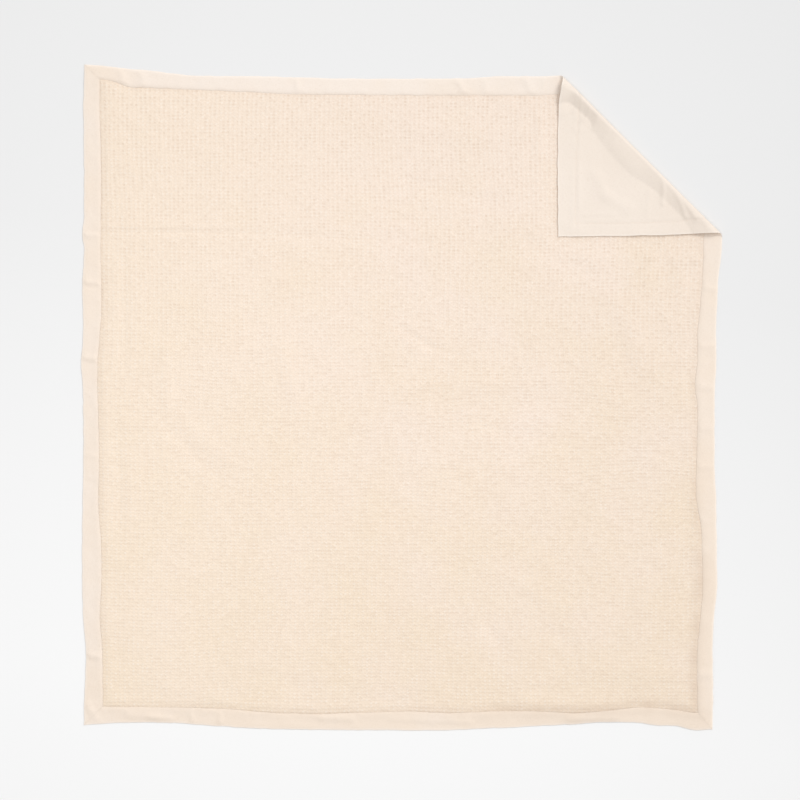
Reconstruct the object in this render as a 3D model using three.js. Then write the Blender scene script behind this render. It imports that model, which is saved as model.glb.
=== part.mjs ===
// A duvet cover lying flat, face up, with one corner turned over so that its plain back shows.
// Millimetres. +Z is up, +X runs along the cover's width and +Y along its length, towards the turned corner.
// The origin is the middle of the cover's box, on the surface that it lies on.
// Each sheet is cut flat, meshed in rows that run along the fold, and then carried round the fold.

import * as THREE from "three";

// Driving dimensions of the cover as it lies
const coverWidth = 2235;
const coverLength = 2300;
const backThickness = 1.2;
const stripThickness = 1.2;
const faceThickness = 2;
const clearance = 0.3;

// The turned corner: where its outer edge lies and how it rolls over
const foldAngle = THREE.MathUtils.degToRad(-44.8);
const foldDistance = 1221;
const rollRadius = 8;
const rollTurn = THREE.MathUtils.degToRad(150);
const flapRest = 0.4;

// How the turned corner falls from its roll, at places along the fold: the radius of the crest, the slope
// down from it in degrees, and the radius where it comes to rest.
const foldSections = [
  { at: -400, crest: 22, slope: 28, rest: 32 },
  { at: -310, crest: 22, slope: 28, rest: 32 },
  { at: -240, crest: 22, slope: 28, rest: 32 },
  { at: -150, crest: 30, slope: 20, rest: 45 },
  { at: -20, crest: 40, slope: 11, rest: 60 },
  { at: 70, crest: 36, slope: 14, rest: 55 },
  { at: 150, crest: 28, slope: 21, rest: 40 },
  { at: 230, crest: 22, slope: 26, rest: 34 },
  { at: 310, crest: 22, slope: 26, rest: 34 },
  { at: 400, crest: 22, slope: 26, rest: 34 },
];

// Spacing of the rows and of the points in a row
const rowStep = 37;
const rollRowTurn = THREE.MathUtils.degToRad(15);
const crestRowStep = 8;
const crestRows = 4;
const slopeRowStep = 12;
const slopeRows = 6;
const flapPointStep = 30;
const facePointStep = 80;
const backPointStep = 400;
const stripPointStep = 50;
const outlineStep = 18;

// How the two layers of the pocket lie
const pocketLoft = 3;
const loftReach = 130;

// One table for each side. at is the place along the side from the cover's middle, edge is how far the outer
// edge stands out past the nominal size, and seam is how far the flange's seam lies inside that size.
const sides = {
  left: [
    { at: 1193, edge: -3, seam: 58 },
    { at: 1030, edge: 0, seam: 58 },
    { at: 853, edge: -2, seam: 62 },
    { at: 659, edge: -2, seam: 62 },
    { at: 602, edge: 4, seam: 62 },
    { at: 535, edge: -2, seam: 61 },
    { at: 408, edge: 4, seam: 63 },
    { at: 306, edge: 1, seam: 63 },
    { at: 200, edge: 2, seam: 55 },
    { at: 136, edge: 9, seam: 51 },
    { at: 58, edge: 2, seam: 50 },
    { at: -189, edge: 0, seam: 56 },
    { at: -348, edge: 3, seam: 53 },
    { at: -489, edge: 4, seam: 62 },
    { at: -648, edge: 4, seam: 64 },
    { at: -754, edge: 1, seam: 58 },
    { at: -878, edge: -8, seam: 67 },
    { at: -1055, edge: -3, seam: 69 },
    { at: -1141, edge: -2, seam: 69 },
  ],
  right: [
    { at: 1175, edge: 32, seam: 16 },
    { at: 853, edge: 30, seam: 18 },
    { at: 700, edge: 26, seam: 26 },
    { at: 571, edge: 21, seam: 44 },
    { at: 518, edge: 19, seam: 45 },
    { at: 447, edge: 9, seam: 48 },
    { at: 359, edge: 5, seam: 55 },
    { at: 253, edge: 0, seam: 65 },
    { at: 147, edge: 2, seam: 66 },
    { at: 58, edge: -4, seam: 74 },
    { at: -30, edge: -4, seam: 66 },
    { at: -207, edge: -5, seam: 69 },
    { at: -330, edge: 0, seam: 71 },
    { at: -454, edge: 2, seam: 53 },
    { at: -666, edge: 3, seam: 48 },
    { at: -754, edge: -6, seam: 55 },
    { at: -896, edge: -12, seam: 68 },
    { at: -1019, edge: -10, seam: 67 },
    { at: -1157, edge: -12, seam: 64 },
  ],
  top: [
    { at: -1114, edge: 42, seam: 11 },
    { at: -1043, edge: 38, seam: 11 },
    { at: -1000, edge: 33, seam: 16 },
    { at: -975, edge: 29, seam: 37 },
    { at: -937, edge: 25, seam: 41 },
    { at: -884, edge: 22, seam: 41 },
    { at: -831, edge: 14, seam: 43 },
    { at: -725, edge: 3, seam: 47 },
    { at: -563, edge: 2, seam: 54 },
    { at: -351, edge: -3, seam: 64 },
    { at: -195, edge: -7, seam: 65 },
    { at: 38, edge: -8, seam: 67 },
    { at: 229, edge: -6, seam: 67 },
    { at: 335, edge: 0, seam: 67 },
    { at: 550, edge: 3, seam: 67 },
    { at: 720, edge: 15, seam: 45 },
    { at: 853, edge: 20, seam: 40 },
    { at: 1149, edge: 25, seam: 35 },
  ],
  bottom: [
    { at: -1116, edge: -9, seam: 74 },
    { at: -990, edge: -16, seam: 73 },
    { at: -810, edge: -17, seam: 72 },
    { at: -704, edge: -10, seam: 70 },
    { at: -563, edge: 0, seam: 62 },
    { at: -457, edge: 5, seam: 53 },
    { at: -280, edge: 8, seam: 49 },
    { at: 17, edge: 10, seam: 57 },
    { at: 176, edge: 9, seam: 51 },
    { at: 285, edge: 4, seam: 55 },
    { at: 388, edge: 0, seam: 58 },
    { at: 497, edge: -6, seam: 57 },
    { at: 621, edge: -12, seam: 51 },
    { at: 727, edge: -19, seam: 60 },
    { at: 851, edge: -16, seam: 71 },
    { at: 904, edge: -8, seam: 70 },
    { at: 978, edge: -5, seam: 62 },
    { at: 1035, edge: 9, seam: 54 },
    { at: 1102, edge: 7, seam: 53 },
  ],
};

// The face's main folds, soft ridges (rise over 0) and troughs between two points of the cover.
const faceFolds = [
  { name: "packing crease", x1: -1110, y1: 602, x2: 140, y2: 560, rise: -2.2, width: 32 },
  { name: "upper sweep ridge", x1: 60, y1: 965, x2: 330, y2: 935, rise: 2.6, width: 50 },
  { name: "upper sweep trough", x1: 90, y1: 758, x2: 345, y2: 700, rise: -2.6, width: 38 },
  { name: "pull from the flap's tip", x1: 460, y1: 555, x2: 720, y2: 425, rise: -2.8, width: 40 },
  { name: "ridge below the flap", x1: 700, y1: 440, x2: 895, y2: 130, rise: 3.4, width: 55 },
  { name: "trough below the flap", x1: 760, y1: 260, x2: 840, y2: -10, rise: -2.4, width: 42 },
  { name: "fall beside the right seam", x1: 925, y1: 560, x2: 965, y2: 330, rise: -2.6, width: 32 },
  { name: "right rim trough", x1: 1028, y1: 470, x2: 1026, y2: 10, rise: -2.4, width: 30 },
  { name: "lower right rim trough", x1: 1028, y1: -380, x2: 1030, y2: -1040, rise: -2.2, width: 32 },
  { name: "short middle crease", x1: 0, y1: 262, x2: 210, y2: 160, rise: -2.4, width: 35 },
  { name: "long middle ridge", x1: 0, y1: 62, x2: 710, y2: 60, rise: 2.8, width: 42 },
  { name: "long middle trough", x1: 140, y1: 2, x2: 700, y2: 2, rise: -2, width: 38 },
  { name: "lower middle trough", x1: 280, y1: -85, x2: 580, y2: -150, rise: -2.2, width: 38 },
  { name: "left upright ridge", x1: -828, y1: 200, x2: -820, y2: -15, rise: 3, width: 42 },
  { name: "second upright ridge", x1: -425, y1: 205, x2: -365, y2: 0, rise: 2.6, width: 42 },
  { name: "left diagonal trough", x1: -810, y1: -100, x2: -640, y2: -265, rise: -2.6, width: 35 },
  { name: "left diagonal ridge", x1: -760, y1: -60, x2: -590, y2: -225, rise: 2, width: 35 },
  { name: "left rim trough", x1: -992, y1: -120, x2: -985, y2: -440, rise: -2.2, width: 32 },
  { name: "lower diagonal ridge", x1: 370, y1: -610, x2: 560, y2: -720, rise: 2.8, width: 45 },
  { name: "lower diagonal trough", x1: 310, y1: -770, x2: 370, y2: -880, rise: -2.2, width: 38 },
  { name: "lower left swell", x1: -810, y1: -1010, x2: -610, y2: -1050, rise: 3, width: 42 },
  { name: "lower trough", x1: -540, y1: -965, x2: -310, y2: -1005, rise: -2.2, width: 40 },
  { name: "lower right swell", x1: 680, y1: -945, x2: 960, y2: -955, rise: 2.8, width: 42 },
];

// Tucks that lift the flange for a short way.
const flangeTucks = [
  { name: "left, at the packing crease", x1: -1120, y1: 585, x2: -1050, y2: 585, rise: 3, width: 26 },
  { name: "left, upper", x1: -1120, y1: 400, x2: -1060, y2: 400, rise: 3, width: 26 },
  { name: "left, middle", x1: -1125, y1: 150, x2: -1060, y2: 150, rise: 3.5, width: 28 },
  { name: "left, low", x1: -1120, y1: -900, x2: -1050, y2: -900, rise: 3, width: 26 },
  { name: "right, upper", x1: 1060, y1: 400, x2: 1125, y2: 400, rise: 3, width: 26 },
  { name: "right, middle", x1: 1060, y1: 40, x2: 1120, y2: 40, rise: 2.5, width: 30 },
  { name: "right, low", x1: 1050, y1: -960, x2: 1110, y2: -960, rise: 2.5, width: 30 },
  { name: "top, left", x1: -980, y1: 1180, x2: -960, y2: 1120, rise: 3, width: 30 },
  { name: "top, middle", x1: 200, y1: 1150, x2: 235, y2: 1090, rise: 2.5, width: 28 },
  { name: "top, right", x1: 440, y1: 1150, x2: 465, y2: 1090, rise: 2.5, width: 28 },
  { name: "bottom, right", x1: 600, y1: -1110, x2: 760, y2: -1125, rise: 4, width: 26 },
];

// Broad swells of the turned corner, at places of the cover as it lies.
const flapSwells = [
  { name: "diagonal swell", x1: 690, y1: 800, x2: 810, y2: 680, rise: 3, width: 62 },
  { name: "swell by the left edge", x1: 620, y1: 900, x2: 620, y2: 760, rise: 1.6, width: 60 },
];

const alongFold = new THREE.Vector2(Math.cos(foldAngle), Math.sin(foldAngle));
const acrossFold = new THREE.Vector2(-Math.sin(foldAngle), Math.cos(foldAngle));
const rollStart = foldDistance - rollRadius;
const stripLevel = backThickness + clearance;
const stackHeight = stripLevel + faceThickness;
const flapHeight = 2 * stackHeight + flapRest;

// The value of a table's column at a place along its side, smooth from row to row.
function columnAt(rows, column, at) {
  const sorted = rows[0].at < rows[rows.length - 1].at ? rows : [...rows].reverse();
  const last = sorted.length - 1;
  const place = THREE.MathUtils.clamp(at, sorted[0].at, sorted[last].at);
  let i = 0;
  while (i < last - 1 && sorted[i + 1].at < place) i += 1;
  const [before, from, to, after] = [Math.max(i - 1, 0), i, i + 1, Math.min(i + 2, last)].map((k) => sorted[k]);
  const span = to.at - from.at;
  const share = (place - from.at) / span;
  const slopeFrom = (to[column] - before[column]) / (to.at - before.at);
  const slopeTo = (after[column] - from[column]) / (after.at - from.at);
  const square = share * share;
  const cube = square * share;
  return (
    (2 * cube - 3 * square + 1) * from[column] +
    (cube - 2 * square + share) * span * slopeFrom +
    (3 * square - 2 * cube) * to[column] +
    (cube - square) * span * slopeTo
  );
}

// A point of a side's outer edge or of its seam.
function sidePoint(side, column, at) {
  const out = column === "edge" ? columnAt(sides[side], column, at) : -columnAt(sides[side], column, at);
  if (side === "left") return new THREE.Vector2(-coverWidth / 2 - out, at);
  if (side === "right") return new THREE.Vector2(coverWidth / 2 + out, at);
  if (side === "top") return new THREE.Vector2(at, coverLength / 2 + out);
  return new THREE.Vector2(at, -coverLength / 2 - out);
}

// Where the edges, or the seams, of an upright and a level side meet.
function corner(upright, level, column) {
  const meet = new THREE.Vector2();
  for (let round = 0; round < 20; round += 1) {
    meet.x = sidePoint(upright, column, meet.y).x;
    meet.y = sidePoint(level, column, meet.x).y;
  }
  return meet;
}

// Points along one side, from one corner to the next, without the last one.
function walk(side, column, from, to) {
  const key = side === "left" || side === "right" ? "y" : "x";
  const count = Math.ceil(Math.abs(to[key] - from[key]) / outlineStep);
  const points = [from];
  for (let i = 1; i < count; i += 1) {
    points.push(sidePoint(side, column, THREE.MathUtils.lerp(from[key], to[key], i / count)));
  }
  return points;
}

// The closed outline through the outer edges or the seams of all four sides, anticlockwise.
function loop(column) {
  const [lowLeft, lowRight] = [corner("left", "bottom", column), corner("right", "bottom", column)];
  const [topLeft, topRight] = [corner("left", "top", column), corner("right", "top", column)];
  return [
    ...walk("bottom", column, lowLeft, lowRight),
    ...walk("right", column, lowRight, topRight),
    ...walk("top", column, topRight, topLeft),
    ...walk("left", column, topLeft, lowLeft),
  ];
}

// The outline of one flange strip: its outer edge, a mitre, its seam and the other mitre, anticlockwise.
function stripOutline(side, cornerBefore, cornerAfter) {
  const outerFrom = corner(...cornerBefore, "edge");
  const outerTo = corner(...cornerAfter, "edge");
  const innerFrom = corner(...cornerAfter, "seam");
  const innerTo = corner(...cornerBefore, "seam");
  return [...walk(side, "edge", outerFrom, outerTo), outerTo, ...walk(side, "seam", innerFrom, innerTo), innerTo];
}

// The outline moved inwards, so that neighbours sewn edge to edge stay apart.
function inset(outline, distance) {
  return outline.map((point, i) => {
    const before = outline[(i + outline.length - 1) % outline.length];
    const after = outline[(i + 1) % outline.length];
    const into = point.clone().sub(before).normalize();
    const out = after.clone().sub(point).normalize();
    const normals = new THREE.Vector2(-into.y - out.y, into.x + out.x);
    return point.clone().addScaledVector(normals, distance / (1 + into.dot(out)));
  });
}

// How far a rise between two points lifts a place.
function riseAt(rows, x, y) {
  let rise = 0;
  for (const row of rows) {
    const run = new THREE.Vector2(row.x2 - row.x1, row.y2 - row.y1);
    const reach = new THREE.Vector2(x - row.x1, y - row.y1);
    const share = THREE.MathUtils.clamp(reach.dot(run) / run.lengthSq(), 0, 1);
    const away = reach.addScaledVector(run, -share).length() / row.width;
    rise += row.rise * Math.exp(-away * away);
  }
  return rise;
}

// 0 under the turned corner and 1 well away from it.
function clearOfFlap(x, y) {
  const [tipX, tipY] = [flapTip.x - 12, flapTip.y - 12];
  return THREE.MathUtils.smoothstep(Math.max(tipX - x, tipY - y), 0, 70);
}

// How far the face panel stands off the back panel at a place of the flat cover.
function faceLift(x, y) {
  const inX = Math.min(x + coverWidth / 2, coverWidth / 2 - x);
  const inY = Math.min(y + coverLength / 2, coverLength / 2 - y);
  const seamDistance = Math.min(inX, inY) - 70;
  const loft = pocketLoft * THREE.MathUtils.smoothstep(seamDistance, 0, loftReach);
  const folds = riseAt(faceFolds, x, y) * THREE.MathUtils.smoothstep(seamDistance, 0, 30);
  return Math.max(0, loft + folds) * clearOfFlap(x, y);
}

// How far a flange strip stands off the back panel.
function stripLift(x, y) {
  return riseAt(flangeTucks, x, y) * clearOfFlap(x, y);
}

// The fold's section at a length of cloth past the start of the roll: its place across the fold, its height
// and the way that the cloth heads. The roll turns tightly, goes over a wide crest, falls and comes to rest.
function section(length, along) {
  const crest = columnAt(foldSections, "crest", along);
  const rest = columnAt(foldSections, "rest", along);
  const slope = THREE.MathUtils.degToRad(columnAt(foldSections, "slope", along));
  const top = rollRadius * (1 - Math.cos(rollTurn)) + crest * (Math.cos(rollTurn) + Math.cos(slope));
  const fall = top - flapHeight - rest * (1 - Math.cos(slope));
  const stretches = [
    { length: rollRadius * rollTurn, curvature: 1 / rollRadius },
    { length: crest * (Math.PI - rollTurn + slope), curvature: 1 / crest },
    { length: fall / Math.sin(slope), curvature: 0 },
    { length: rest * slope, curvature: -1 / rest },
    { length: Infinity, curvature: 0 },
  ];
  const at = { across: rollStart, height: 0, heading: 0 };
  let left = length;
  for (const stretch of stretches) {
    const part = Math.min(left, stretch.length);
    const heading = at.heading + part * stretch.curvature;
    if (stretch.curvature === 0) {
      at.across += part * Math.cos(heading);
      at.height += part * Math.sin(heading);
    } else {
      at.across += (Math.sin(heading) - Math.sin(at.heading)) / stretch.curvature;
      at.height += (Math.cos(at.heading) - Math.cos(heading)) / stretch.curvature;
    }
    at.heading = heading;
    left -= part;
    if (left <= 0) break;
  }
  return at;
}

// Carries a point of the flat stack, level above the back's underside, to where the cloth lies.
function lay(across, along, level, lift) {
  let place = { across, height: level };
  if (across > rollStart) {
    const at = section(across - rollStart, along);
    place = {
      across: at.across - level * Math.sin(at.heading),
      height: at.height + level * Math.cos(at.heading),
    };
  }
  const x = place.across * acrossFold.x + along * alongFold.x;
  const y = place.across * acrossFold.y + along * alongFold.y;
  if (across <= rollStart) return new THREE.Vector3(x, y, place.height + lift(x, y));
  const turned = across - rollStart > rollRadius * rollTurn;
  const behindEdge = THREE.MathUtils.smoothstep(foldDistance - place.across, 30, 110);
  const swell = turned ? Math.max(0, riseAt(flapSwells, x, y)) * behindEdge : 0;
  return new THREE.Vector3(x, y, place.height + swell);
}

// Where the corner of the flat outline comes to lie once it is turned over.
const flatCorner = corner("right", "top", "edge");
const flapTip = lay(flatCorner.dot(acrossFold), flatCorner.dot(alongFold), 0, () => 0);

// The rows' distances across the fold that every piece shares.
function sharedRows(lowest, highest) {
  const rows = [];
  const flatRows = Math.ceil((rollStart - lowest) / rowStep);
  for (let i = 0; i < flatRows; i += 1) rows.push(THREE.MathUtils.lerp(lowest, rollStart, i / flatRows));
  const rollRows = Math.round(rollTurn / rollRowTurn);
  for (let i = 0; i <= rollRows; i += 1) rows.push(rollStart + rollRadius * rollRowTurn * i);
  const crestStart = rollStart + rollRadius * rollTurn;
  for (let i = 1; i <= crestRows; i += 1) rows.push(crestStart + crestRowStep * i);
  const slopeStart = crestStart + crestRowStep * crestRows;
  for (let i = 1; i <= slopeRows; i += 1) rows.push(slopeStart + slopeRowStep * i);
  const flapStart = slopeStart + slopeRowStep * slopeRows;
  const flapRows = Math.floor((highest - flapStart) / rowStep);
  for (let i = 1; i <= flapRows; i += 1) rows.push(flapStart + rowStep * i);
  return rows;
}

const outerLoop = loop("edge");
const allAcross = outerLoop.map((point) => point.dot(acrossFold));
const rowsOfCover = sharedRows(Math.min(...allAcross), Math.max(...allAcross));

// The corners of an outline, where it turns sharply, as distances across the fold.
function cornerRows(outline) {
  const sharp = outline.filter((point, i) => {
    const into = point.clone().sub(outline[(i + outline.length - 1) % outline.length]).normalize();
    const out = outline[(i + 1) % outline.length].clone().sub(point).normalize();
    return into.dot(out) < 0.85;
  });
  return sharp.map((point) => point.dot(acrossFold));
}

// The rows that cross an outline: the shared ones, and one through each of its corners.
function rowsOf(outline) {
  const corners = cornerRows(outline);
  const across = outline.map((point) => point.dot(acrossFold));
  const [lowest, highest] = [Math.min(...across), Math.max(...across)];
  const shared = rowsOfCover.filter(
    (row) => row > lowest && row < highest && corners.every((own) => Math.abs(own - row) > 1),
  );
  return [...shared, ...corners].sort((a, b) => a - b);
}

// The lowest and highest place along the fold where a row meets an outline.
function crossing(outline, row) {
  const found = [];
  outline.forEach((point, i) => {
    const next = outline[(i + 1) % outline.length];
    const [from, to] = [point.dot(acrossFold), next.dot(acrossFold)];
    const share = from === to ? 0 : (row - from) / (to - from);
    const tolerance = 1e-9;
    if (share < -tolerance || share > 1 + tolerance) return;
    if (from === to && Math.abs(row - from) > tolerance) return;
    found.push(THREE.MathUtils.lerp(point.dot(alongFold), next.dot(alongFold), share));
  });
  return [Math.min(...found), Math.max(...found)];
}

// The points of one row, on a grid that pieces above each other share.
function rowPoints(outline, row, step) {
  const [low, high] = crossing(outline, row);
  const narrow = 0.5;
  if (high - low < narrow) return [{ across: row, along: (low + high) / 2 }];
  const points = [{ across: row, along: low }];
  const room = step * 0.3;
  for (let k = Math.ceil((low + room) / step); k * step < high - room; k += 1) {
    points.push({ across: row, along: k * step });
  }
  points.push({ across: row, along: high });
  return points;
}

// Triangles between two neighbouring rows of point numbers.
function zip(points, near, far) {
  const triangles = [];
  let [i, j] = [0, 0];
  while (i < near.length - 1 || j < far.length - 1) {
    const nearNext = i < near.length - 1 ? points[near[i + 1]].along : Infinity;
    const farNext = j < far.length - 1 ? points[far[j + 1]].along : Infinity;
    if (nearNext <= farNext) {
      triangles.push([near[i], far[j], near[i + 1]]);
      i += 1;
    } else {
      triangles.push([near[i], far[j], far[j + 1]]);
      j += 1;
    }
  }
  return triangles;
}

// A closed sheet from its flat outline: two faces a thickness apart and the wall round them.
function sheet(outline, bottomLevel, thickness, pointStep, lift) {
  const points = [];
  const triangles = [];
  let before = [];
  for (const row of rowsOf(outline)) {
    const step = row < rollStart - rowStep / 2 ? pointStep : Math.min(pointStep, flapPointStep);
    const numbers = rowPoints(outline, row, step).map((point) => points.push(point) - 1);
    if (before.length) triangles.push(...zip(points, before, numbers));
    before = numbers;
  }
  const count = points.length;
  const positions = [];
  for (const level of [bottomLevel, bottomLevel + thickness]) {
    for (const point of points) positions.push(...lay(point.across, point.along, level, lift).toArray());
  }
  const faces = [];
  const edges = new Map();
  for (const [a, b, c] of triangles) {
    faces.push(a, b, c, a + count, c + count, b + count);
    for (const [from, to] of [[a, b], [b, c], [c, a]]) {
      if (!edges.delete(`${to} ${from}`)) edges.set(`${from} ${to}`, [from, to]);
    }
  }
  for (const [from, to] of edges.values()) {
    faces.push(from, to + count, to, from, from + count, to + count);
  }
  const geometry = new THREE.BufferGeometry();
  geometry.setAttribute("position", new THREE.Float32BufferAttribute(positions, 3));
  geometry.setIndex(faces);
  geometry.computeVertexNormals();
  return geometry;
}

function cloth(name, geometry, color, roughness) {
  const material = new THREE.MeshStandardMaterial({ color, roughness, metalness: 0 });
  const mesh = new THREE.Mesh(geometry, material);
  mesh.name = name;
  return mesh;
}

function backPanel() {
  const outline = inset(outerLoop, clearance / 2);
  return cloth("back_panel", sheet(outline, 0, backThickness, backPointStep, () => 0), 0xf6ebdf, 0.85);
}

function facePanel() {
  const outline = inset(loop("seam"), clearance / 2);
  const geometry = sheet(outline, stripLevel, faceThickness, facePointStep, faceLift);
  return cloth("face_panel", geometry, 0xf8e7d6, 0.95);
}

function flangeStrip(side, cornerBefore, cornerAfter) {
  const outline = inset(stripOutline(side, cornerBefore, cornerAfter), clearance / 2);
  const geometry = sheet(outline, stripLevel, stripThickness, stripPointStep, stripLift);
  return cloth(`flange_${side}`, geometry, 0xf7e8d9, 0.85);
}

const cover = new THREE.Group();
cover.add(backPanel());
cover.add(facePanel());
cover.add(flangeStrip("bottom", ["left", "bottom"], ["right", "bottom"]));
cover.add(flangeStrip("right", ["right", "bottom"], ["right", "top"]));
cover.add(flangeStrip("top", ["right", "top"], ["left", "top"]));
cover.add(flangeStrip("left", ["left", "top"], ["left", "bottom"]));

// The origin is the middle of the box that the cover fills.
const box = new THREE.Box3().setFromObject(cover);
cover.position.set(-(box.min.x + box.max.x) / 2, -(box.min.y + box.max.y) / 2, -box.min.z);

export default cover;
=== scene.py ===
# The looks of a duvet cover that lies flat, face up, with one corner turned over so that its back shows.
# Its lengths are millimetres on the flat cover, as in the part's source. placed() makes them metres.

import math

import bpy
import numpy as np
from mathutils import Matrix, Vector
from mathutils.geometry import delaunay_2d_cdt


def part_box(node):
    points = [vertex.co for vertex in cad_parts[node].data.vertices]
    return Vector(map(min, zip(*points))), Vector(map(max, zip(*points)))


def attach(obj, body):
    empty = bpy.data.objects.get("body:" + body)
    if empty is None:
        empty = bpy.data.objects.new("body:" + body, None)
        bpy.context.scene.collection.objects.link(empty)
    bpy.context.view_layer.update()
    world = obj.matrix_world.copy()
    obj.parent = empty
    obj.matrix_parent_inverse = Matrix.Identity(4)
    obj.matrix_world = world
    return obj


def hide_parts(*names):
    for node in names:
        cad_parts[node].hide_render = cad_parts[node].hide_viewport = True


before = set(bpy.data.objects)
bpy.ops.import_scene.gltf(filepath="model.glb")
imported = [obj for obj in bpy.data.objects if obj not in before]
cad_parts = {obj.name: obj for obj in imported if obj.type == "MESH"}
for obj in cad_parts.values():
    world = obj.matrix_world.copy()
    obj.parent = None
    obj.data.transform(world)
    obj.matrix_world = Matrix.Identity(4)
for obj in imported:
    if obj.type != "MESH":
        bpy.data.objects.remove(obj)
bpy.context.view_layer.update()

# Driving dimensions of the cover as it lies
COVER_WIDTH = 2235
COVER_LENGTH = 2300
PLAIN_THICKNESS = 1.2
WAFFLE_THICKNESS = 2.0
CLEARANCE = 0.3
STACK_LEVEL = PLAIN_THICKNESS + CLEARANCE

# The turned corner: its fold runs at an angle, at a distance from the cover's middle
FOLD_ANGLE = math.radians(-44.8)
FOLD_DISTANCE = 1221
ROLL_TURN = math.radians(150)
FLAP_REST = 0.4
FLAP_HEIGHT = 2 * (STACK_LEVEL + WAFFLE_THICKNESS) + FLAP_REST
ALONG = np.array([math.cos(FOLD_ANGLE), math.sin(FOLD_ANGLE)])
ACROSS = np.array([-math.sin(FOLD_ANGLE), math.cos(FOLD_ANGLE)])

# How the turned corner rolls over and falls, at places along the fold.
# Columns: place, radius of the roll, radius of the crest, slope in degrees, radius where it comes to rest
FOLD_SECTIONS = [
    (-400, 11, 20, 11, 25),
    (-350, 12.5, 18, 15, 25),
    (-320, 13, 9, 26, 16),
    (-270, 12.5, 9, 28, 14),
    (-225, 11.5, 10, 27, 14),
    (-190, 10.5, 14, 17, 18),
    (-80, 9.5, 14, 11, 18),
    (26, 9.5, 14, 11, 10),
    (60, 9.5, 14, 13, 10),
    (132, 9.5, 14, 16, 18),
    (238, 9.5, 16, 17, 25),
    (326, 10, 18, 13, 25),
    (400, 10, 20, 10, 25),
]
ROLL, CREST, SLOPE, REST = 1, 2, 3, 4
# The turned corner's swells begin over these distances behind the fold's outer line, and the relief of its
# cloth within this one of that line.
SWELLS_BEGIN = (5, 28)
RELIEF_BEGINS = 6

# Places of the flat cloth across the fold, and how far rows of points reach along it. The rows are closest
# in the roll, a little further apart up to the middle of the slope and the fold's end, and even after that.
ROWS_START = FOLD_DISTANCE - 40
ROLL_START = FOLD_DISTANCE - 16
ROLL_END = FOLD_DISTANCE + 22
SLOPE_MIDDLE = ROLL_END + 44
FOLD_END = ROLL_END + 130
ROWS_END = 1750
FOLD_REACH = 720

# One table for each side of the cover. Columns: place along the side from the cover's middle, how far the
# outer edge stands out past the nominal size, how far the flange's seam lies inside that size
SIDES = {
    "left": [
        (-1141, -2, 69), (-1055, -3, 69), (-878, -8, 67), (-754, 1, 58), (-648, 4, 64), (-489, 4, 62),
        (-348, 3, 53), (-189, 0, 56), (58, 2, 50), (136, 9, 51), (200, 2, 55), (306, 1, 63),
        (408, 4, 63), (535, -2, 61), (602, 4, 62), (659, -2, 62), (853, -2, 62), (1030, 0, 58),
        (1193, -3, 58),
    ],
    "right": [
        (-1157, -12, 64), (-1019, -10, 67), (-896, -12, 68), (-754, -6, 55), (-666, 3, 48),
        (-454, 2, 53), (-330, 0, 71), (-207, -5, 69), (-30, -4, 66), (58, -4, 74), (147, 2, 66),
        (253, 0, 65), (359, 5, 55), (447, 9, 48), (518, 19, 45), (571, 21, 44), (700, 26, 26),
        (853, 30, 18), (1175, 32, 16),
    ],
    "top": [
        (-1114, 42, 11), (-1043, 38, 11), (-1010, 34, 18), (-970, 29, 33), (-937, 25, 40),
        (-884, 22, 41), (-831, 14, 43), (-725, 3, 47), (-563, 2, 54), (-351, -3, 64), (-195, -7, 65),
        (38, -8, 67), (229, -6, 67), (335, 0, 67), (520, 1, 66), (575, 5, 61), (620, 15, 56),
        (690, 27, 46), (853, 30, 40), (1000, 28, 36), (1149, 28, 35),
    ],
    "bottom": [
        (-1116, -9, 74), (-990, -16, 73), (-810, -17, 72), (-704, -10, 70), (-563, 0, 62),
        (-457, 5, 53), (-280, 8, 49), (17, 10, 57), (176, 9, 51), (285, 4, 55), (388, 0, 58),
        (497, -6, 57), (621, -12, 51), (727, -19, 60), (851, -16, 71), (904, -8, 70), (978, -5, 62),
        (1035, 9, 54), (1102, 7, 53),
    ],
}
EDGE, SEAM = 1, 2
UPRIGHT_SIDES = ("left", "right")

# The flange's strips, anticlockwise. Columns: the corners where each starts and ends, as an upright and a
# level side, and its flat length in metres
STRIPS = {
    "bottom": (("left", "bottom"), ("right", "bottom"), 2.23),
    "right": (("right", "bottom"), ("right", "top"), 2.32),
    "top": (("right", "top"), ("left", "top"), 2.26),
    "left": (("left", "top"), ("left", "bottom"), 2.33),
}

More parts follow.
